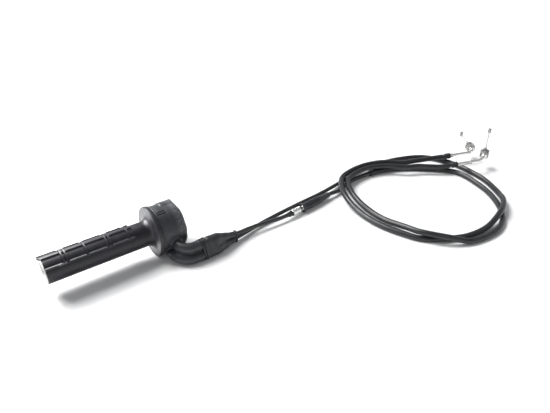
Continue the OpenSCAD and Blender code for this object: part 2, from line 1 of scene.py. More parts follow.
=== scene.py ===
"""Looks of the twin-cable throttle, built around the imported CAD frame.

Moulded rubber, looped cables and plated ends stand in for the plain CAD nodes. Meshes are built
in millimetres, and piece() turns them into the metres of the frame."""

import json
import math

import bpy
import numpy as np
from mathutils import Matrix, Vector

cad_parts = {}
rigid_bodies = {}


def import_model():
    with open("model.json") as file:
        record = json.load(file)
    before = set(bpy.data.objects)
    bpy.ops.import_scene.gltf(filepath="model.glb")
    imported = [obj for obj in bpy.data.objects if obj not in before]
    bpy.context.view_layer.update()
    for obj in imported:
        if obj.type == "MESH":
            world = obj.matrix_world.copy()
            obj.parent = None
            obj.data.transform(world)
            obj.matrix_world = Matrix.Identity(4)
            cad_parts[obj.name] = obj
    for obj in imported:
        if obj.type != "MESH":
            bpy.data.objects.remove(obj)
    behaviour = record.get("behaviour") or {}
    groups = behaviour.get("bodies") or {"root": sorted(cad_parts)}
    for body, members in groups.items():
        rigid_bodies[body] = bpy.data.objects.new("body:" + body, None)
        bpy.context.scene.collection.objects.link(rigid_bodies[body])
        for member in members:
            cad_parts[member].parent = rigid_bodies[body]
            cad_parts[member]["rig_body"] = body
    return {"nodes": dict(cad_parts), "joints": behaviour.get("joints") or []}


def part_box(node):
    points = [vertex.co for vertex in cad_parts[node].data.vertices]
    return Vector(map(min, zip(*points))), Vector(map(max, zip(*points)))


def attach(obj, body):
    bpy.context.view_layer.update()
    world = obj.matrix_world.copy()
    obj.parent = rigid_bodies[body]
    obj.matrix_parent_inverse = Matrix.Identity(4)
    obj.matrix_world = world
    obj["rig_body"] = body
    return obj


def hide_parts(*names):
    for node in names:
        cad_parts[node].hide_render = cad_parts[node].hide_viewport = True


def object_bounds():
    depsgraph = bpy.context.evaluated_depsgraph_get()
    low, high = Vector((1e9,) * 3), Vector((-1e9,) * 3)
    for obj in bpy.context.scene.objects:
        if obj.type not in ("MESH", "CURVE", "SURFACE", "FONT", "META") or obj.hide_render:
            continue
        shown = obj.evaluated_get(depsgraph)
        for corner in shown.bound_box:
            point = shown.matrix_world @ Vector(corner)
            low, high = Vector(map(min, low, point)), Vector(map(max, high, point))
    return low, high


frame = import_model()
cad_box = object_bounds()
MM = 0.001


# ---------- Small maths ----------


def unit(v):
    v = np.asarray(v, float)
    return v / np.linalg.norm(v)


def smoothstep(a, b, x):
    t = np.clip((x - a) / (b - a), 0, 1)
    return t * t * (3 - 2 * t)


def smooth_min(a, b, k):
    h = np.clip(0.5 + 0.5 * (b - a) / k, 0, 1)
    return b * (1 - h) + a * h - k * h * (1 - h)


def smooth_max(a, b, k):
    return -smooth_min(-a, -b, k)


def bump(x, middle, half, soft):
    """1 within half of middle, falling to 0 over soft on each side"""
    return 1 - smoothstep(half - soft / 2, half + soft / 2, np.abs(x - middle))


# ---------- Reading the frame, in millimetres ----------


def points_of(node):
    mesh = frame["nodes"][node].data
    co = np.zeros(len(mesh.vertices) * 3)
    mesh.vertices.foreach_get("co", co)
    return co.reshape(-1, 3) / MM


def welded(node):
    """Points and faces of a CAD node with its split corners joined again"""
    co = points_of(node)
    keys, index = np.unique(np.round(co, 2), axis=0, return_inverse=True)
    index = index.ravel()
    points, count = np.zeros_like(keys), np.zeros(len(keys))
    np.add.at(points, index, co)
    np.add.at(count, index, 1)
    faces = [[index[v] for v in p.vertices] for p in frame["nodes"][node].data.polygons]
    return points / count[:, None], [f for f in faces if len(set(f)) == len(f)]


def ring_centres(node, sides=6, longest=1.62):
    """Middles of the rings that a swept CAD rod is made of, from the end nearest the housing.
    An end face is a group of small faces with exactly that many corners, and the walk starts there."""
    points, faces = welded(node)
    near = [set() for _ in points]
    group = list(range(len(points)))

    def root(a):
        while group[a] != a:
            a = group[a]
        return a

    small = []
    for f in faces:
        for a in f:
            near[a].update(f)
        if max(np.linalg.norm(points[f[i]] - points[f[i - 1]]) for i in range(len(f))) < longest:
            small.append(f)
            for a in f[1:]:
                group[root(a)] = root(f[0])
    ends = {}
    for f in small:
        for a in f:
            ends.setdefault(root(a), set()).add(a)
    ends = [e for e in ends.values() if len(e) == sides]
    level = min(ends, key=lambda e: points[list(e)][:, 0].mean())
    seen, centres = set(level), []
    while level:
        centres.append(points[list(level)].mean(0))
        level = set().union(*(near[a] for a in level)) - seen
        seen |= level
    return np.array(centres)


def turning_axis(joint):
    """Place and direction of a hinge"""
    row = next(j for j in frame["joints"] if j["name"] == joint)
    return np.array(row["pos_m"]) / MM, unit(row["axis"])


def span(node, origin, direction):
    """First and last place of a node along an axis"""
    along = (points_of(node) - origin) @ direction
    return along.min(), along.max()


# ---------- Paths ----------


def through(points, step=0.8):
    """Smooth curve through the points (centripetal Catmull-Rom)"""
    p = np.vstack([2 * points[0] - points[1], points, 2 * points[-1] - points[-2]])
    out = []
    for i in range(1, len(p) - 2):
        a, b, c, d = p[i - 1 : i + 3]
        t = np.cumsum([0] + [max(np.linalg.norm(v), 1e-6) ** 0.5 for v in (b - a, c - b, d - c)])
        n = max(2, int(np.linalg.norm(c - b) / step))
        u = np.linspace(t[1], t[2], n, endpoint=False)[:, None]
        ab = (t[1] - u) / (t[1] - t[0]) * a + (u - t[0]) / (t[1] - t[0]) * b
        bc = (t[2] - u) / (t[2] - t[1]) * b + (u - t[1]) / (t[2] - t[1]) * c
        cd = (t[3] - u) / (t[3] - t[2]) * c + (u - t[2]) / (t[3] - t[2]) * d
        abc = (t[2] - u) / (t[2] - t[0]) * ab + (u - t[0]) / (t[2] - t[0]) * bc
        bcd = (t[3] - u) / (t[3] - t[1]) * bc + (u - t[1]) / (t[3] - t[1]) * cd
        out.append((t[2] - u) / (t[2] - t[1]) * abc + (u - t[1]) / (t[2] - t[1]) * bcd)
    return np.vstack(out + [p[-2:-1]])


class Path:
    """A curve with a frame that doesn't twist. Places along it are lengths in millimetres."""

    def __init__(self, points):
        self.p = np.asarray(points, float)
        step = np.diff(self.p, axis=0)
        self.s = np.concatenate([[0], np.cumsum(np.linalg.norm(step, axis=1))])
        t = np.gradient(self.p, self.s, axis=0)
        self.t = t / np.linalg.norm(t, axis=1)[:, None]
        side = np.cross(self.t[0], (0, 0, 1) if abs(self.t[0][2]) < 0.9 else (1, 0, 0))
        normals = [unit(side)]
        for t in self.t[1:]:
            normals.append(unit(normals[-1] - (normals[-1] @ t) * t))
        self.n = np.array(normals)
        self.length = self.s[-1]

    @classmethod
    def line(cls, origin, direction, length=10.0):
        return cls([np.asarray(origin, float), np.asarray(origin, float) + unit(direction) * length])

    def at(self, s):
        inside = np.clip(s, 0, self.length)
        pick = lambda a: np.stack([np.interp(inside, self.s, a[:, i]) for i in range(3)], -1)
        p, t, n = pick(self.p), pick(self.t), pick(self.n)
        t /= np.linalg.norm(t, axis=-1, keepdims=True)
        n -= (n * t).sum(-1, keepdims=True) * t
        n /= np.linalg.norm(n, axis=-1, keepdims=True)
        return p + (s - inside)[..., None] * t, t, n

    def place(self, points):
        """Length along the path of the sample nearest to each point"""
        return np.array([self.s[np.argmin(((self.p - q) ** 2).sum(1))] for q in points])


# ---------- Meshes ----------


def revolve(path, rows, sides, shape=None, closed=True, angles=None):
    """Round mesh about a path. A row is (place along the path, radius). The rows close on
    themselves, or end in flat caps. shape(s, r, angle) may change the radius."""
    rows = np.asarray(rows, float)
    angles = np.linspace(0, 2 * math.pi, sides, endpoint=False) if angles is None else angles
    n, m = len(rows), len(angles)
    s, a = np.repeat(rows[:, :1], m, 1), np.repeat(angles[None], n, 0)
    r = np.repeat(rows[:, 1:2], m, 1)
    if shape:
        r = shape(s, r, a)
    p, t, side = path.at(s)
    other = np.cross(t, side)
    points = p + r[..., None] * (np.cos(a)[..., None] * side + np.sin(a)[..., None] * other)
    i = np.arange(n if closed else n - 1)[:, None]
    j = np.arange(m)[None]
    quad = lambda di, dj: ((i + di) % n) * m + (j + dj) % m
    faces = np.stack([quad(0, 0), quad(0, 1), quad(1, 1), quad(1, 0)], -1).reshape(-1, 4).tolist()
    if not closed:
        faces += [list(range(m))[::-1], [(n - 1) * m + k for k in range(m)]]
    return points.reshape(-1, 3), faces


def skin_of(field, low, high, step):
    """Closed mesh of the surface where field(x, y, z) is zero; the field is negative inside"""
    axes = [np.arange(low[i] - 2 * step, high[i] + 3 * step, step) for i in range(3)]
    d = field(*np.meshgrid(*axes, indexing="ij")).astype(np.float32)
    inside = d < 0
    cells = np.array(d.shape) - 1
    total, count = np.zeros((*cells, 3), np.float32), np.zeros(cells, np.float32)
    crossings = []
    for axis in range(3):
        first = [slice(None)] * 3
        second = [slice(None)] * 3
        first[axis], second[axis] = slice(0, -1), slice(1, None)
        a, b = d[tuple(first)], d[tuple(second)]
        cross = inside[tuple(first)] != inside[tuple(second)]
        t = np.where(cross, a / np.where(cross, a - b, 1), 0)
        others = [k for k in range(3) if k != axis]
        for da in (0, 1):
            for db in (0, 1):
                part = [slice(None)] * 3
                part[others[0]] = slice(da, da + cells[others[0]])
                part[others[1]] = slice(db, db + cells[others[1]])
                c = cross[tuple(part)]
                total[..., axis] += t[tuple(part)]
                total[..., others[0]] += c * da
                total[..., others[1]] += c * db
                count += c
        crossings.append((others, np.argwhere(cross), inside[tuple(first)][cross]))
    used = count > 0
    number = np.full(cells, -1, np.int64)
    number[used] = np.arange(used.sum())
    points = (np.argwhere(used) + total[used] / count[used][:, None]) * step + [x[0] for x in axes]
    faces = []
    for axis, (others, at, sign) in enumerate(crossings):
        keep = (at[:, others[0]] > 0) & (at[:, others[1]] > 0)
        at, sign = at[keep], sign[keep]
        corner = []
        for da, db in ((1, 1), (0, 1), (0, 0), (1, 0)):
            c = at.copy()
            c[:, others[0]] -= da
            c[:, others[1]] -= db
            corner.append(number[c[:, 0], c[:, 1], c[:, 2]])
        quads = np.stack(corner, -1)
        turn = sign if axis != 1 else ~sign
        quads[~turn] = quads[~turn][:, ::-1]
        faces.append(quads)
    for _ in range(3):
        value = field(*points.T)
        slope = [(field(*(points + e).T) - field(*(points - e).T)) / 0.1 for e in np.eye(3) * 0.05]
        slope = np.stack(slope, -1)
        move = value[:, None] * slope / np.maximum((slope**2).sum(1), 0.05)[:, None]
        size = np.linalg.norm(move, axis=1, keepdims=True)
        points = points - move * np.minimum(1, 0.3 * step / np.maximum(size, 1e-9))
    return points, np.vstack(faces).tolist()


def joined(*meshes):
    points, faces, start = [], [], 0
    for p, f in meshes:
        points.append(p)
        faces += [[v + start for v in face] for face in f]
        start += len(p)
    return np.vstack(points), faces


def quad_volume(points, faces):
    f = np.array([q for q in faces if len(q) == 4])
    a, b, c, d = (points[f[:, i]] for i in range(4))
    return (np.einsum("ij,ij", a, np.cross(b, c)) + np.einsum("ij,ij", a, np.cross(c, d))) / 6


def piece(name, mesh_data, material, *nodes, sharp=32):
    """A new object in place of CAD nodes, riding on their body"""
    points, faces = mesh_data
    points = np.asarray(points, float)
    if quad_volume(points, faces) < 0:
        faces = [f[::-1] for f in faces]
    mesh = bpy.data.meshes.new(name)
    mesh.from_pydata((points * MM).tolist(), [], faces)
    mesh.validate()
    mesh.update()
    mesh.materials.append(material)
    mesh.polygons.foreach_set("use_smooth", [True] * len(mesh.polygons))
    mesh.set_sharp_from_angle(angle=math.radians(sharp))
    obj = bpy.data.objects.new(name, mesh)
    bpy.context.scene.collection.objects.link(obj)
    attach(obj, frame["nodes"][nodes[0]]["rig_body"])
    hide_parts(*nodes)
    return obj


# ---------- Materials ----------


def finish_of(name, colour, rough, metal=0.0, vary=0.25, patch=18.0, grain=0.35, depth=0.03,
              rough_vary=0.1, wear=None, wear_from=0.53, specular=0.5):
    """A surface from nodes. patch and grain are the sizes in millimetres of its blotches and its
    fine grain, depth is the grain's height, and wear is the colour on sharp edges."""
    mat = bpy.data.materials.new(name)
    mat.use_nodes = True
    nodes, links = mat.node_tree.nodes, mat.node_tree.links
    shader = nodes["Principled BSDF"]
    place = nodes.new("ShaderNodeTexCoord").outputs["Object"]

    def noise(size, detail, roughness=0.55):
        node = nodes.new("ShaderNodeTexNoise")
        node.inputs["Scale"].default_value = 1 / (size * MM)
        node.inputs["Detail"].default_value = detail
        node.inputs["Roughness"].default_value = roughness
        links.new(place, node.inputs["Vector"])
        return node.outputs["Fac"]

    def fit(value, low, high, out_low, out_high):
        node = nodes.new("ShaderNodeMapRange")
        node.inputs["From Min"].default_value = low
        node.inputs["From Max"].default_value = high
        node.inputs["To Min"].default_value = out_low
        node.inputs["To Max"].default_value = out_high
        links.new(value, node.inputs["Value"])
        return node.outputs["Result"]

    def mix(factor, a, b):
        node = nodes.new("ShaderNodeMix")
        node.data_type = "RGBA"
        links.new(factor, node.inputs["Factor"])
        for value, socket in ((a, node.inputs["A"]), (b, node.inputs["B"])):
            if isinstance(value, tuple):
                socket.default_value = (*value, 1)
            else:
                links.new(value, socket)
        return node.outputs["Result"]

    blotches, fine = noise(patch, 3), noise(grain, 2)
    dark = tuple(c * (1 - vary) for c in colour)
    light = tuple(min(1, c * (1 + vary)) for c in colour)
    shade = mix(fit(blotches, 0.3, 0.7, 0, 1), dark, light)
    roughness = fit(blotches, 0.3, 0.7, rough - rough_vary / 2, rough + rough_vary / 2)
    if wear:
        edge = nodes.new("ShaderNodeNewGeometry").outputs["Pointiness"]
        worn = nodes.new("ShaderNodeMath")
        worn.operation = "MULTIPLY"
        links.new(fit(edge, wear_from, wear_from + 0.08, 0, 0.8), worn.inputs[0])
        links.new(fit(noise(2.5, 4), 0.35, 0.6, 0.25, 1), worn.inputs[1])
        shade = mix(worn.outputs[0], shade, wear)
    links.new(shade, shader.inputs["Base Color"])
    links.new(roughness, shader.inputs["Roughness"])
    shader.inputs["Metallic"].default_value = metal
    shader.inputs["Specular IOR Level"].default_value = specular
    relief = nodes.new("ShaderNodeBump")
    relief.inputs["Strength"].default_value = 0.6
    relief.inputs["Distance"].default_value = depth * MM
    links.new(fine, relief.inputs["Height"])
    links.new(relief.outputs["Normal"], shader.inputs["Normal"])
    return mat


def layer(material, colour, build):
    """Lays a colour over a finish as far as the factor that build(nodes, links, place) gives"""
    nodes, links = material.node_tree.nodes, material.node_tree.links
    base = nodes["Principled BSDF"].inputs["Base Color"]
    under = base.links[0].from_socket
    node = nodes.new("ShaderNodeMix")
    node.data_type = "RGBA"
    links.new(build(nodes, links, nodes.new("ShaderNodeTexCoord").outputs["Object"]), node.inputs["Factor"])
    links.new(under, node.inputs["A"])
    node.inputs["B"].default_value = (*colour, 1)
    links.new(node.outputs["Result"], base)


def ramp(nodes, links, value, low, high, top):
    """0 at low, rising smoothly to top at high"""
    node = nodes.new("ShaderNodeMapRange")
    node.interpolation_type = "SMOOTHSTEP"
    node.inputs["From Min"].default_value = low
    node.inputs["From Max"].default_value = high
    node.inputs["To Max"].default_value = top
    links.new(value, node.inputs["Value"])
    return node.outputs["Result"]


def times(nodes, links, a, b):
    node = nodes.new("ShaderNodeMath")
    node.operation = "MULTIPLY"
    links.new(a, node.inputs[0])
    links.new(b, node.inputs[1])
    return node.outputs[0]


def speckle(nodes, links, place, size, low, high):
    """0 to 1 in spots of the given size in millimetres"""
    node = nodes.new("ShaderNodeTexNoise")
    node.inputs["Scale"].default_value = 1 / (size * MM)
    node.inputs["Detail"].default_value = 4
    links.new(place, node.inputs["Vector"])
    return ramp(nodes, links, node.outputs["Fac"], low, high, 1.0)


def axes_of(nodes, links, place):
    apart = nodes.new("ShaderNodeSeparateXYZ")
    links.new(place, apart.inputs[0])
    return apart.outputs


def distance(nodes, links, place, at, stretch):
    """Distance in millimetres from a place, each axis weighted"""
    scaled = nodes.new("ShaderNodeMapping")
    scaled.inputs["Location"].default_value = [-a * w for a, w in zip(at, stretch)]
    scaled.inputs["Scale"].default_value = [w / MM for w in stretch]
    length = nodes.new("ShaderNodeVectorMath")
    length.operation = "LENGTH"
    links.new(place, scaled.inputs["Vector"])
    links.new(scaled.outputs["Vector"], length.inputs[0])
    return length.outputs["Value"]


grip_rubber = finish_of("grip_rubber", (0.0085, 0.0085, 0.0125), 0.42, vary=0.3, patch=9, grain=0.25,
                        wear=(0.045, 0.045, 0.05), specular=0.4)


def painted_rib_highlight(nodes, links, place):
    """Painted highlight: the ribs' crests are painted paler, by their distance from the grip's axis,
    standing in for their gloss and the shade between them
    """
    height = ramp(nodes, links, distance(nodes, links, place, (0, 0, 0), (0, 1, 1)), 14.7, 15.9, 0.75)
    return times(nodes, links, height, speckle(nodes, links, place, 3.0, 0.3, 0.6))


def scuff(nodes, links, place):
    """A pale scrape near the outboard end, longer along the grip than across it"""
    spot = distance(nodes, links, place, (-125.5, -12.9, 9.4), (0.3, 1, 1))
    near = ramp(nodes, links, spot, 1.9, 0.6, 1.0)
    return times(nodes, links, near, speckle(nodes, links, place, 1.5, 0.36, 0.6))


# Painted highlight on the ribs' crests
layer(grip_rubber, (0.03, 0.03, 0.034), painted_rib_highlight)
layer(grip_rubber, (0.2, 0.2, 0.21), scuff)

cover_rubber = finish_of("cover_rubber", (0.022, 0.024, 0.028), 0.45, vary=0.22, patch=14, grain=0.3,
                         wear=(0.09, 0.09, 0.095))


def rubbed(nodes, links, place):
    """The cover is rubbed grey on the upper part of its inboard end"""
    axes = axes_of(nodes, links, place)
    inboard = ramp(nodes, links, axes["X"], -0.0065, -0.001, 0.85)
    height = ramp(nodes, links, axes["Z"], -0.006, 0.006, 1.0)
    there = times(nodes, links, inboard, height)
    return times(nodes, links, there, speckle(nodes, links, place, 1.5, 0.3, 0.66))


layer(cover_rubber, (0.1, 0.103, 0.108), rubbed)
boot_rubber = finish_of("boot_rubber", (0.018, 0.019, 0.022), 0.45, vary=0.3, patch=8, grain=0.3,
                        depth=0.02, wear=(0.07, 0.07, 0.075))
navy_rubber = finish_of("navy_rubber", (0.011, 0.011, 0.016), 0.5, vary=0.3, patch=6, grain=0.3,
                        depth=0.02, wear=(0.06, 0.06, 0.065))


def past_shoulder(nodes, links, place):
    """The adjuster's boot turns greyer where its taper starts"""
    return ramp(nodes, links, axes_of(nodes, links, place)["X"], 0.187, 0.194, 0.8)


layer(navy_rubber, (0.045, 0.047, 0.05), past_shoulder)
conduit_plastic = finish_of("conduit_plastic", (0.024, 0.025, 0.027), 0.34, patch=12, grain=0.5,
                            depth=0.02, rough_vary=0.14)
sleeve_plastic = finish_of("sleeve_plastic", (0.015, 0.016, 0.018), 0.36, vary=0.3, patch=14, grain=0.6,
                           depth=0.025, rough_vary=0.16)
cap_rubber = finish_of("cap_rubber", (0.012, 0.012, 0.014), 0.5, vary=0.3, patch=5, grain=0.3)
black_metal = finish_of("black_metal", (0.02, 0.02, 0.022), 0.35, metal=0.3, patch=5, grain=0.3,
                        wear=(0.3, 0.3, 0.3), wear_from=0.56)
plated = finish_of("plated", (0.88, 0.88, 0.86), 0.22, metal=0.92, vary=0.06, patch=6, grain=0.4,
                   depth=0.012, rough_vary=0.12)
plated_nut = finish_of("plated_nut", (0.4, 0.4, 0.385), 0.28, metal=1.0, vary=0.2, patch=3, grain=0.4,
                       depth=0.015, rough_vary=0.14)
wire_steel = finish_of("wire_steel", (0.66, 0.66, 0.64), 0.38, metal=0.9, vary=0.1, patch=2, grain=0.3)
tube_plastic = finish_of("tube_plastic", (0.8, 0.8, 0.78), 0.35, vary=0.05, patch=10, grain=0.3, depth=0.01)
washer_plastic = finish_of("washer_plastic", (0.78, 0.76, 0.68), 0.4, vary=0.06)
cast_alloy = finish_of("cast_alloy", (0.5, 0.51, 0.52), 0.42, metal=1.0, vary=0.12, patch=7, grain=0.5,
                       depth=0.05, wear=(0.8, 0.8, 0.8))
screw_steel = finish_of("screw_steel", (0.6, 0.6, 0.6), 0.3, metal=1.0, vary=0.1, patch=3)
brass = finish_of("brass", (0.62, 0.45, 0.2), 0.32, metal=1.0, vary=0.15, patch=3)
guide_steel = finish_of("guide_steel", (0.06, 0.062, 0.065), 0.35, metal=0.6, vary=0.2, patch=6)

# CAD nodes whose shape is right keep it and take a finish
KEPT = {
    "throttle_tube": tube_plastic, "thrust_washer": washer_plastic, "housing_upper": cast_alloy,
    "housing_lower": cast_alloy, "housing_screws": screw_steel, "pull_drum_nipple": brass,
    "push_drum_nipple": brass, "pull_drum_wire": wire_steel, "push_drum_wire": wire_steel,
    "pull_guide_tube": guide_steel, "push_guide_tube": guide_steel,
}
for node, material in KEPT.items():
    frame["nodes"][node].data.materials.clear()
    frame["nodes"][node].data.materials.append(material)


# ---------- Cables ----------

wire_r = 0.75
conduit_r = 2.5
conduit_bore = 1.2
sleeve_r = 3.5
sleeve_bore = 2.62
hose_step = 2.4     # between the rings of a hose


def ease(points, x0, x1):
    """Redraws the points from where x0 is first passed to where x1 is, as one easy curve"""
    i, j = np.argmax(points[:, 0] > x0), np.argmax(points[:, 0] > x1)
    a, b = points[i], points[j]
    reach = np.linalg.norm(b - a)
    leave, arrive = unit(a - points[i - 1]) * reach, unit(points[j + 1] - b) * reach
    t = np.linspace(0, 1, j - i + 1)[:, None]
    curve = (2 * t**3 - 3 * t**2 + 1) * a + (t**3 - 2 * t**2 + t) * leave + (3 * t**2 - 2 * t**3) * b
    points[i : j + 1] = curve + (t**3 - t**2) * arrive


# Stretches along X where the CAD's path bends to and fro, and a cable would hang more easily
EASED = (("pull", 66, 135), ("push", 66, 168), ("push", 172, 262))
centres = {side: ring_centres(side + "_wire") for side in ("pull", "push")}
for side, x0, x1 in EASED:
    ease(centres[side], x0, x1)
cable = {side: Path(through(c)) for side, c in centres.items()}


def stretch_of(side, node):
    """Where on its cable a hose starts and ends"""
    places = cable[side].place(np.unique(np.round(points_of(node), 1), axis=0))
    return places.min(), places.max()


def hose_rows(s0, s1, r_out, r_in, edge=0.35):
    along = np.linspace(s0 + edge, s1 - edge, max(3, int((s1 - s0) / hose_step)))
    out = [(s0, r_out - edge), *[(s, r_out) for s in along], (s1, r_out - edge)]
    back = [(s1, r_in + 0.1), *[(s, r_in) for s in along[::-1]], (s0, r_in + 0.1)]
    return out + back


def hose(side, node, r_out, r_in, material, seed):
    rows = hose_rows(*stretch_of(side, node), r_out, r_in)
    return piece(node + "_hose", revolve(cable[side], rows, 24, jacket(seed)), material, node)


def jacket(seed):
    """The faint unevenness of an extruded jacket over its wound steel liner"""
    def shape(s, r, a):
        return r * (1 + 0.006 * np.sin(s * 0.37 + seed) * np.sin(2 * a + s * 0.05 + seed))
    return shape


hose("pull", "pull_conduit_front", conduit_r, conduit_bore, conduit_plastic, 0.3)
hose("pull", "pull_conduit_rear", conduit_r, conduit_bore, conduit_plastic, 1.1)
hose("push", "push_conduit", conduit_r, conduit_bore, conduit_plastic, 2.2)
hose("pull", "pull_sleeve", sleeve_r, sleeve_bore, sleeve_plastic, 3.0)
hose("push", "push_sleeve", sleeve_r, sleeve_bore, sleeve_plastic, 4.1)

for side in ("pull", "push"):
    rows = [(s, wire_r) for s in np.arange(0.2, cable[side].length - 0.1, 1.5)]
    piece(side + "_wire_strand", revolve(cable[side], rows, 10, closed=False), wire_steel, side + "_wire")


# ---------- Grip ----------

grip_low, grip_high = (np.array(v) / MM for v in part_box("grip_rubber"))
flange_r = grip_high[2]
flange_w = 5.0
grip_end, grip_back = grip_low[0], grip_high[0]
grip_front = grip_back - flange_w
base_r, top_r, grip_bore = 14.3, 16.0, 12.75
rib_w, pitch = 1.8, 22.4
nick_w = 0.55     # of the notch that a rib has on each side of a ring
fillet_r = 7
first_ring = grip_front - 1.165 * pitch
rings = [first_ring, first_ring - 2 * pitch]
rings += [first_ring - k * pitch + shift for k in (1, 3) for shift in (-0.9, 2.9)]
rib_angles = np.radians([36 + 47.5 * k for k in range(5)])     # from -Y, up over the top
soft = 0.5


def waffle(s, r, a):
    """Raises the rings and the lengthwise ribs of the palm's half, and a faint line round the other half.
    The rings are a little lower than the ribs, with a nick in the ribs on both sides."""
    outer = (r > base_r - 0.01) & (s < grip_front - 6.9)
    a = np.mod(a, 2 * math.pi)
    first, last = rib_angles[0], rib_angles[-1]
    palm = smoothstep(first - 0.03, first + 0.02, a) * (1 - smoothstep(last - 0.02, last + 0.03, a))
    ring = np.max([bump(s, x, rib_w / 2, soft) for x in rings], axis=0)
    beside = np.max([bump(s, x, rib_w / 2 + nick_w, soft) for x in rings], axis=0)
    across = [np.angle(np.exp(1j * (a - b))) * base_r for b in rib_angles]
    rib = np.max([bump(d, 0, rib_w / 2, soft) for d in across], axis=0)
    rib = rib * (1 - smoothstep(first_ring + 5.4, first_ring + 6.3, s))
    nick = 0.2 * beside + 0.45 * (beside - ring) * palm
    height = (top_r - base_r) * np.maximum(0.8 * ring * palm, rib * (1 - nick))
    faint = 0.24 * ring * (1 - palm) * (0.35 + 0.65 * bump(a, 0, 0.6, 0.5))
    worn = 0.04 * np.sin(s * 0.9 + 3 * a) * np.sin(5 * a + s * 0.21) * (height > 0.8)
    return r + np.where(outer, np.maximum(height, faint) + worn, 0)


def refined(low, high, step, edges, reach=0.5, count=5):
    """Even places with extra ones about each edge"""
    places = list(np.arange(low, high, step))
    for e in edges:
        places += list(np.linspace(e - reach, e + reach, count))
    places = np.unique(np.round([p for p in places if low <= p <= high], 3))
    keep = [places[0]]
    for p in places[1:]:
        if p - keep[-1] > 0.08:
            keep.append(p)
    return keep


def fillet(x, r, radius, a0, a1, n):
    """Arc of a turned profile"""
    angles = np.radians(np.linspace(a0, a1, n))
    return [(x + radius * math.cos(t), r + radius * math.sin(t)) for t in angles]


edges = [x + d * w for x in rings for d in (-1, 1) for w in (rib_w / 2, rib_w / 2 + nick_w)]
edges += [first_ring + 6]
grip_rows = [(grip_end, grip_bore), (grip_end, base_r - 0.5), (grip_end + 0.12, base_r - 0.15)]
grip_rows += [(x, base_r) for x in refined(grip_end + 0.4, grip_front - 7.2, 1.5, edges)]
grip_rows += fillet(grip_front - fillet_r, base_r + fillet_r, fillet_r, -90, -4, 12)
grip_rows += [(grip_front + 0.02, base_r + 7.6), (grip_front, 23.5)]
grip_rows += [(grip_front - 0.05, 25), (grip_front, 26.5)]
grip_rows += fillet(grip_front + 1.1, flange_r - 1.1, 1.1, 180, 90, 6)
grip_rows += [(grip_front + 2.5, flange_r)]
grip_rows += fillet(grip_back - 0.8, flange_r - 0.8, 0.8, 90, 0, 5)
grip_rows += [(grip_back, 24), (grip_back, 16), (grip_back, grip_bore)]
grip_rows += [(x, grip_bore) for x in np.linspace(grip_back - 3, grip_end + 3, 24)]
rib_edges = [math.degrees(b) + d * math.degrees(rib_w / 2 / base_r) for b in rib_angles for d in (-1, 1)]
palm_edges = [35.5, 226.5]
grip_angles = np.radians(refined(0, 359.2, 2.5, rib_edges + palm_edges, reach=2.0, count=6))

# The side of the path is -Y, so that angles on the grip are measured from there
grip_line = Path.line((0, 0, 0), (1, 0, 0))
grip_line.n = np.array([[0, -1.0, 0], [0, -1.0, 0]])


def grip_shape(s, r, a):
    """The mesh turns the other way about X than the waffle's angles"""
    return waffle(s, r, -a)


grip_points, grip_faces = revolve(grip_line, grip_rows, 0, grip_shape, angles=grip_angles)
around = np.arctan2(grip_points[:, 2], -grip_points[:, 1])
# The trimmed end keeps a short lip at the top
lip = bump(around, math.radians(124), math.radians(26), 0.35)
lip *= 1 - smoothstep(grip_end, grip_end + 3, grip_points[:, 0])
grip_points[:, 0] -= 2.3 * lip
piece("grip_moulding", (grip_points, grip_faces), grip_rubber, "grip_rubber", sharp=50)


# ---------- Housing cover ----------

cover_low, cover_high = (np.array(v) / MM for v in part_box("housing_cover"))
drop = math.radians(9)
housing_r, cover_r, face_x = 24.0, 26.35, 5.0
cover_x0, cover_x1 = cover_low[0], face_x + 1.45
lobe_stop = cover_high[0]
bend_y, bend_x = 29.0, 3.2
lobe_r = 6.0
boss_at = math.radians(122)     # of the raised corner on the inboard end
LOBES = {"pull": (-4.5, 12.5), "push": (-15.0, 18.1)}     # height and bend radius in the outlets' frame


def outlets(x, y, z):
    """Into the frame in which the cables leave level"""
    return x, y * math.cos(drop) + z * math.sin(drop), z * math.cos(drop) - y * math.sin(drop)


def lobe_distance(x, y, z, height, bend):
    """Distance from the middle of a cable's outlet: out along -Y, round a quarter turn, on along X"""
    u, v, w = bend_x - x, -bend_y - y, z - height
    straight = np.hypot(u - bend, w)
    turn = np.hypot(np.hypot(u, v) - bend, w)
    along = np.hypot(v - bend, w)
    corner = np.minimum(straight, along)
    return np.where(v < 0, np.where(u < 0, corner, straight), np.where(u < 0, along, turn))


def facet(x, y, z, angle, reach, slope=0.75):
    """Flat on the inboard shoulder: angle is measured from -Y up over the top"""
    out = -y * math.cos(angle) + z * math.sin(angle)
    return slope * (x - cover_x1) + math.sqrt(1 - slope**2) * (out - reach)


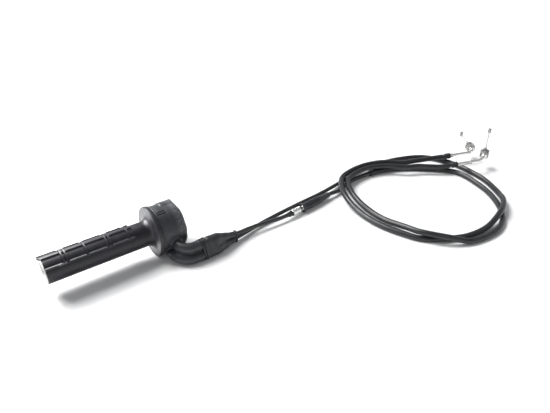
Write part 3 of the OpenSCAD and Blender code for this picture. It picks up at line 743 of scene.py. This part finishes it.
def cover_field(x, y, z):
    x, y, z = outlets(x, y, z)
    rho, angle = np.hypot(y, z), np.arctan2(z, -y)
    turned = angle - drop
    boss = bump(np.abs(np.angle(np.exp(1j * (turned - boss_at)))), 0, 0.5, 0.22)
    boss = boss * smoothstep(-12.5, -10.5, x)
    rim = 0.95 * (1 - smoothstep(cover_x0 + 1.9, cover_x0 + 2.5, x))
    rim = rim - 0.25 * bump(x, cover_x0 + 3.0, 0.35, 0.4)
    wall = cover_r + rim + 1.25 * boss + 0.35 * (1 - smoothstep(-16, -9, x))
    body = smooth_max(rho - wall, np.maximum(x - cover_x1, cover_x0 - x), 0.9)
    shoulder = (x - 3.4 + rho - cover_r) / math.sqrt(2) - 3.2 * boss
    for at, reach in ((86, 22.2), (30, 22.6), (-8, 22.9), (-44, 22.9)):
        shoulder = np.maximum(shoulder, facet(x, y, z, math.radians(at) + drop, reach))
    body = smooth_max(body, shoulder, 0.7)
    pull = lobe_distance(x, y, z, *LOBES["pull"])
    push = lobe_distance(x, y, z, *LOBES["push"])
    swell = lobe_r + 0.3 * smoothstep(lobe_stop - 2.6, lobe_stop - 2.0, x)
    lobes = smooth_min(pull, push, 2.2) - swell
    reach_in = np.maximum(x - lobe_stop, y + 12)
    lobes = smooth_max(lobes, reach_in, 0.5)
    outside = smooth_min(body, lobes, 2.6)
    outside = np.maximum(outside, x - lobe_stop)
    chamfer = (x - face_x + rho - housing_r + 2.2) / 1.414
    hollow = np.maximum(rho - housing_r - 0.15, np.maximum(x - face_x - 0.15, chamfer))
    hollow = np.minimum(hollow, np.maximum(rho - 11.6, -x))
    tubes = np.minimum(pull, push) - 3.7
    bosses = np.maximum(np.minimum(pull, push) - 5.3, -bend_y - 0.2 - y)
    bosses = np.maximum(bosses, y + 10)
    hollow = np.minimum(hollow, np.minimum(np.maximum(tubes, y + 12), bosses))
    groove = 1e3
    for at in (66, 72.5):
        c, s = math.cos(math.radians(at) + drop), math.sin(math.radians(at) + drop)
        across, height = y * s + z * c, -y * c + z * s
        side = np.maximum(np.abs(across) - 0.55, np.abs(x - cover_x0 - 7.6) - 5.1)
        groove = np.minimum(groove, np.maximum(side, cover_r - 0.95 - height))
    return smooth_max(np.maximum(outside, -hollow), -groove, 0.25)


cover_step = 0.56
cover_from = (cover_x0, cover_low[1] - 1.5, -flange_r)
cover_mesh = skin_of(cover_field, cover_from, (lobe_stop, flange_r, flange_r), cover_step)
piece("cover_moulding", cover_mesh, cover_rubber, "housing_cover", sharp=60)


# ---------- Dust boot ----------

boot_low, boot_high = (np.array(v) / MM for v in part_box("dust_boot"))
boot_rest = grip_low[2] + 0.05     # the boot is pressed flat where it rests on the table


def boot_field(x, y, z):
    near = {}
    for side in ("pull", "push"):
        p = cable[side].p
        p = p[(p[:, 0] > 4) & (p[:, 0] < 75) & (p[:, 1] < -25)]
        near[side] = np.interp(x, p[:, 0], p[:, 1]), np.interp(x, p[:, 0], p[:, 2])
    (py, pz), (qy, qz) = near["pull"], near["push"]
    pull, push = np.hypot(y - py, z - pz), np.hypot(y - qy, z - qz)
    dy, dz = qy - py, qz - pz
    t = np.clip(((y - py) * dy + (z - pz) * dz) / (dy * dy + dz * dz + 1e-9), 0, 1)
    oblong = np.hypot(y - py - t * dy, z - pz - t * dz)
    x0, x1 = boot_low[0], boot_high[0]
    waist = smoothstep(x0 + 12, x1 - 9, x)
    round_pair = smooth_min(pull, push, 2.6 - 1.2 * waist)
    middle = oblong * (1 - waist) + round_pair * waist
    thick = 6.0 + 0.25 * bump(x, x0 + 9.5, 4.5, 5) - 2.55 * smoothstep(x0 + 14, x1 - 1, x)
    beads = 1.25 * bump(x, x0 + 0.95, 0.8, 0.8) + 1.45 * bump(x, x0 + 4.4, 1.5, 0.9)
    thick = thick - 0.75 + beads + 0.75 * smoothstep(x0 + 6, x0 + 9, x)
    lip = 1.2 * smoothstep(x1 - 2.2, x1 - 1.5, x)
    around = np.arctan2(z - (pz + qz) / 2, y - (py + qy) / 2)
    folds = 0.14 * np.sin((x - x0) * 0.55 + 1.5 * around) * smoothstep(x0 + 8, x0 + 16, x)
    folds = folds * (1 - smoothstep(x1 - 8, x1 - 3, x))
    shell = smooth_max(middle - thick - lip - folds, boot_rest - z, 0.5)
    inner = np.minimum(pull, push) - (3.75 - 1.1 * smoothstep(x0 + 15, x0 + 22, x))
    inner = smooth_min(inner, middle - thick + 1.7, 0.3)
    ends = np.maximum(x - x1, x0 - x)
    return np.maximum(smooth_max(shell, ends, 0.4), -inner)


boot_step = 0.38
boot_mesh = skin_of(boot_field, boot_low - [0, 1.5, 0.8], boot_high + [0, 1.5, 1.5], boot_step)
piece("dust_boot_moulding", boot_mesh, boot_rubber, "dust_boot", sharp=60)


# ---------- Sleeve bands and end caps ----------

def banded():
    """One band on each cable, just after its sleeve starts"""
    parts = []
    for side in ("pull", "push"):
        s0, _ = stretch_of(side, side + "_sleeve")
        rows = [(s0 + 0.5, 3.55), (s0 + 0.6, 3.95), (s0 + 1.1, 4.02), (s0 + 2.0, 3.96),
                (s0 + 2.9, 4.02), (s0 + 3.4, 3.95), (s0 + 3.5, 3.55)]
        parts.append(revolve(cable[side], rows, 32))
    return joined(*parts)


piece("sleeve_band_pair", banded(), cap_rubber, "sleeve_bands")


# ---------- Carburettor ends ----------


def hexagon(flats, x0, x1):
    """Shape of a nut whose corners are turned off at both faces"""
    def shape(s, r, a):
        turn = np.mod(a + math.pi / 6, math.pi / 3) - math.pi / 6
        side = flats / 2 / np.cos(turn)
        depth = np.minimum(s - x0, x1 - s)
        cone = flats / 2 - 0.1 + depth * 1.9
        outer = np.minimum(np.minimum(side, cone), flats / 2 / math.cos(math.pi / 6) - 0.12)
        return np.where(r > flats / 2 - 1, outer, r)
    return shape


def nut_mesh(path, x0, x1, flats, bore):
    deep = [0, 0.06, 0.15, 0.28, 0.42, 0.6, 0.8, 1.1]
    out = [(x0 + d, flats / 2) for d in deep] + [(x1 - d, flats / 2) for d in deep[::-1]]
    inner = [(x1, bore + 0.5), (x1 - 0.5, bore), (x0 + 0.5, bore), (x0, bore + 0.5)]
    rows = [(x0, flats / 2 - 1.6), *out, (x1, flats / 2 - 1.6), *inner]
    return revolve(path, rows, 72, hexagon(flats, x0, x1))


def threaded(x0, x1, pitch, depth, crest):
    """Shape of a screw thread on the stretch from x0 to x1"""
    def shape(s, r, a):
        turn = np.mod(s / pitch - a / (2 * math.pi), 1)
        groove = np.clip(np.abs(2 * turn - 1) * 1.25 - 0.12, 0, 1)
        here = smoothstep(x0, x0 + pitch, s) * (1 - smoothstep(x1 - pitch, x1, s)) * (r > crest - 0.05)
        return r - depth * groove * here
    return shape


def fluted(s, r, a):
    """Shape of an inner wire of seven strands, which wind once round in 9 mm"""
    return r - 0.06 * (1 - np.abs(np.sin(7 * (a - 2 * math.pi * s / 9.0) / 2)))


thread_len, nose_r = 13.5, 1.9
tip_r, pipe_r, elbow_bore = 3.9, 2.4, 1.15
nipple_r = 2.5
SWAGE = {"pull": 20.7, "push": 3.2}     # where the fat ring sits on each elbow


def elbow_path(corner, heading, bend_points, base, tip, start):
    """From the end cap along the straight pipe, round the bend and out along the tip"""
    straight = [corner + heading * s for s in np.linspace(start, -0.5, 30)]
    bend = through(np.vstack([corner - heading * 2, bend_points, base + tip * 2]), 0.5)
    bend = bend[[i for i, p in enumerate(bend) if (p - corner) @ heading > 0 and (p - base) @ tip < 0]]
    return Path(np.vstack([straight, bend, [base + tip * s for s in np.linspace(0.2, 30, 60)]]))


def elbow_rows(swage, base_s, thread_s, end_s):
    """Profile of pipe, swage, threaded tip and nose, and back along the bore"""
    rows = [(0, 1.9), (0.3, pipe_r)]
    rows += [(s, pipe_r) for s in np.arange(1.2, swage - 0.2, 1.2)]
    rows += [(swage, pipe_r), (swage + 0.35, 2.95), (swage + 1.1, 3.05), (swage + 2.5, 3.05)]
    rows += [(swage + 3.2, 2.95), (swage + 3.6, pipe_r)]
    rows += [(s, pipe_r) for s in np.arange(swage + 4.4, base_s - 0.9, 0.9)]
    rows += [(base_s - 0.7, pipe_r), (base_s - 0.3, 2.9), (base_s - 0.1, 3.4), (base_s + 0.3, tip_r - 0.1)]
    rows += [(s, tip_r) for s in np.arange(base_s + 0.6, thread_s - 0.7, 0.15)]
    rows += [(thread_s - 0.5, tip_r - 0.2), (thread_s, tip_r - 0.7), (thread_s, nose_r + 0.3)]
    rows += [(thread_s + 0.3, nose_r)]
    rows += [(s, nose_r) for s in np.linspace(thread_s + 1, end_s - 0.4, 8)]
    rows += [(end_s, nose_r - 0.3), (end_s, elbow_bore + 0.1)]
    rows += [(s, elbow_bore) for s in np.linspace(end_s - 0.5, 0.5, 60)]
    return rows + [(0, elbow_bore + 0.2)]


def nipple_rows(half):
    """Profile of a barrel with dished ends and a slight waist"""
    end = [(-half, 0.9), (-half, 1.0), (-half + 0.25, nipple_r - 0.75), (-half + 0.15, nipple_r - 0.5),
           (-half, nipple_r - 0.4), (-half + 0.1, nipple_r - 0.15), (-half + 0.4, nipple_r)]
    middle = [(-half + 0.9, nipple_r), (-0.95, nipple_r), (-0.8, nipple_r - 0.12), (0.8, nipple_r - 0.12),
              (0.95, nipple_r)]
    return end + middle + [(-s, q) for s, q in end[::-1]]


def cap_rows(x0, x1):
    """Profile of a rubber cap with a groove round it"""
    return [(x0, 2.75), (x0 + 0.1, 3.3), (x0 + 0.6, 3.75), (x0 + 1.4, 4.0), (x0 + 3.4, 4.05),
            (x0 + 3.7, 3.85), (x0 + 4.0, 3.85), (x0 + 4.3, 4.05), (x1 - 0.5, 4.05), (x1 - 0.1, 3.9),
            (x1, 3.5), (x1, 2.8), (x1 - 0.6, 2.62), (x0 + 0.6, 2.62)]


for side in ("pull", "push"):
    bend_points = centres[side][-9:]     # the CAD's wire has nine stations round the bend
    corner = bend_points[0]
    heading = unit(corner - centres[side][-10])
    nut_at, tip = turning_axis(side + "_inner_nut_turn")
    base = nut_at + ((bend_points[-1] - nut_at) @ tip) * tip
    start, _ = span(side + "_elbow", corner, heading)
    path = elbow_path(corner, heading, bend_points, base, tip, start)
    base_s = path.place([base])[0]
    end_s = base_s + span(side + "_elbow", base, tip)[1]
    thread_s = base_s + thread_len
    thread = threaded(base_s + 0.6, thread_s - 0.4, 1.25, 0.55, tip_r)
    elbow = revolve(path, elbow_rows(SWAGE[side], base_s, thread_s, end_s), 48, thread)
    piece(side + "_elbow_tube", elbow, plated, side + "_elbow")

    tip_line = Path.line(base, tip)
    for which in ("inner", "outer"):
        node = f"{side}_{which}_nut"
        x0, x1 = span(node, base, tip)
        piece(node + "_hex", nut_mesh(tip_line, x0, x1, 12.0, 3.98), plated_nut, node)

    x0, x1 = span(side + "_wire_tip", base, tip)
    rows = [(s, wire_r) for s in np.arange(x0, x1 - 0.4, 0.45)] + [(x1, wire_r)]
    wire_end = revolve(tip_line, rows, 42, fluted, closed=False)
    piece(side + "_wire_end", wire_end, wire_steel, side + "_wire_tip")

    nipple = np.array(sum(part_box(side + "_nipple"), Vector())) / 2 / MM
    across = unit(np.cross(tip, heading))
    half = span(side + "_nipple", nipple, across)[1]
    barrel = revolve(Path.line(nipple, across), nipple_rows(half), 40, closed=False)
    piece(side + "_nipple_barrel", barrel, plated_nut, side + "_nipple")

    cap_at = corner + heading * (start + 0.7)
    cap = revolve(Path.line(cap_at, heading), cap_rows(*span(side + "_end_cap", cap_at, heading)), 40)
    piece(side + "_end_cap_moulding", cap, cap_rubber, side + "_end_cap")


# ---------- Adjuster ----------

screw_mid, along = turning_axis("adjuster_screw_turn")
adjuster = Path.line(screw_mid, along)


def reach_of(node):
    return span(node, screw_mid, along)


x0, x1 = reach_of("adjuster_ferrule")
rows = [(x0, 2.75), (x0, 3.0), (x0 + 0.4, 3.25), (x0 + 2.0, 3.35), (x0 + 2.3, 3.25), (x0 + 2.7, 3.25)]
rows += [(x0 + 3.0, 3.4), (x1 - 1.3, 3.5), (x1 - 1.0, 3.85), (x1 - 0.3, 3.85), (x1, 3.6)]
rows += [(x1, 1.5), (x1 - 0.7, 1.25), (x1 - 1.2, 2.65), (x0 + 0.5, 2.65)]
piece("adjuster_ferrule_cup", revolve(adjuster, rows, 48), black_metal, "adjuster_ferrule")

barrel_r = 4.2
groove_r = 3.9
x0, x1 = reach_of("adjuster_barrel")
rows = [(x0, 1.4), (x0, 3.7), (x0 + 0.35, barrel_r)]
for g in [x0 + 1.9 + 2.5 * k for k in range(4)]:
    rows += [(g, barrel_r), (g + 0.12, groove_r), (g + 0.75, groove_r), (g + 0.9, barrel_r)]
    if g + 2.4 < x1 - 0.6:
        rows += [(g + 1.15, barrel_r), (g + 1.7, barrel_r), (g + 2.25, barrel_r)]
rows += [(x1 - 0.35, barrel_r), (x1, 3.8), (x1, 3.1), (x1 - 0.4, 2.86), (x0 + 3.4, 2.86), (x0 + 3.4, 1.2)]


def knurled(s, r, a):
    """Lengthwise flutes between the barrel's grooves"""
    flute = np.abs(np.sin(12 * a))
    return np.where(r > barrel_r - 0.05, r - 0.1 * (1 - flute), r)


piece("adjuster_barrel_knurled", revolve(adjuster, rows, 96, knurled), plated, "adjuster_barrel")

x0, x1 = reach_of("adjuster_lock_nut")
piece("adjuster_lock_nut_hex", nut_mesh(adjuster, x0, x1, 7.6, 2.86), plated_nut, "adjuster_lock_nut")

screw_r = 2.75
head_r = 3.5
x0, x1 = reach_of("adjuster_screw")
shank = x0 + 14.0
rows = [(x0, 1.25), (x0, 2.3), (x0 + 0.4, screw_r)]
rows += [(s, screw_r) for s in np.arange(x0 + 0.6, shank - 0.4, 0.11)]
rows += [(shank, screw_r), (shank + 0.1, 3.2), (shank + 0.4, head_r), (x1 - 0.4, head_r), (x1, 3.2)]
rows += [(x1, screw_r), (x1 - 6, 2.65), (x1 - 6, 1.2)]
screw = revolve(adjuster, rows, 40, threaded(x0 + 0.5, shank - 0.5, 0.9, 0.4, screw_r))
piece("adjuster_screw_threaded", screw, plated, "adjuster_screw")

x0, x1 = reach_of("adjuster_boot")
taper = x0 + 31.5
rows = [(x0 + 0.25, 4.65), (x0, 4.9), (x0, 5.8), (x0 + 0.35, 6.2), (x0 + 1.5, 6.2), (x0 + 2.3, 5.95)]
rows += [(x0 + 2.9, 5.35), (x0 + 3.6, 5.2)]
rows += [(x0 + s, 5.2 - 0.12 * math.sin(s * 0.35)) for s in np.arange(5, 28, 1.0)]
rows += [(x0 + 29.0, 5.15), (x0 + 30.2, 4.85), (taper, 4.75)]
rows += [(taper + s, 4.75 - 1.15 * (s / 15.5) ** 0.9) for s in np.arange(1, 15.5, 1.0)]
rows += [(x1 - 0.9, 3.6), (x1 - 0.5, 3.75), (x1 - 0.1, 3.65), (x1, 3.3), (x1, 2.75)]
rows += [(x1 - 17.5, 2.7), (x1 - 18, 4.6)]
piece("adjuster_boot_moulding", revolve(adjuster, rows, 56), navy_rubber, "adjuster_boot", sharp=45)


# ---------- Floor, light and camera ----------

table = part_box("grip_rubber")[0].z
centre = (cad_box[0] + cad_box[1]) / 2

bpy.ops.mesh.primitive_plane_add(size=14, location=(centre.x, centre.y, table - 0.0001))
floor = bpy.context.object
floor.name = "floor"
paper = bpy.data.materials.new("paper")
paper.use_nodes = True
paper_shader = paper.node_tree.nodes["Principled BSDF"]
paper_shader.inputs["Base Color"].default_value = (0.88, 0.88, 0.885, 1)
paper_shader.inputs["Roughness"].default_value = 0.7
paper_shader.inputs["Specular IOR Level"].default_value = 0.2
floor.data.materials.append(paper)

# The sky is brighter near the horizon than overhead
world = bpy.data.worlds.new("studio")
bpy.context.scene.world = world
world.use_nodes = True
backdrop = world.node_tree.nodes["Background"]
backdrop.inputs["Color"].default_value = (0.98, 0.99, 1.0, 1)
upward = world.node_tree.nodes.new("ShaderNodeSeparateXYZ")
fade = world.node_tree.nodes.new("ShaderNodeMapRange")
fade.inputs["From Min"].default_value = 0.0
fade.inputs["From Max"].default_value = 0.7
fade.inputs["To Min"].default_value = 0.8
fade.inputs["To Max"].default_value = 0.3
sky = world.node_tree.nodes.new("ShaderNodeTexCoord")
world.node_tree.links.new(sky.outputs["Generated"], upward.inputs[0])
world.node_tree.links.new(upward.outputs["Z"], fade.inputs["Value"])
world.node_tree.links.new(fade.outputs["Result"], backdrop.inputs["Strength"])


def light(name, kind, place, aim, power):
    lamp = bpy.data.lights.new(name, kind)
    lamp.energy = power
    obj = bpy.data.objects.new(name, lamp)
    bpy.context.scene.collection.objects.link(obj)
    obj.location = place
    obj.rotation_mode = "QUATERNION"
    obj.rotation_quaternion = (Vector(aim) - Vector(place)).to_track_quat("-Z", "Y")
    return lamp


key = light("key_light", "SUN", centre + Vector((-0.6, 1.35, 2.0)), centre, 4.1)
key.angle = math.radians(34)
rim = light("rim_light", "AREA", (-0.13, 0.14, 0.13), (-0.075, 0.06, -0.03), 1.1)
rim.size = 0.1

lens = bpy.data.cameras.new("camera")
lens.lens = 34.04
lens.sensor_width = 36
lens.clip_start = 0.01
camera = bpy.data.objects.new("camera", lens)
bpy.context.scene.collection.objects.link(camera)
camera.location = (-0.19868, -0.45722, 0.32547)
camera.rotation_euler = (math.radians(58), 0, math.radians(-36.81))
bpy.context.scene.camera = camera
bpy.context.scene.view_settings.view_transform = "Standard"
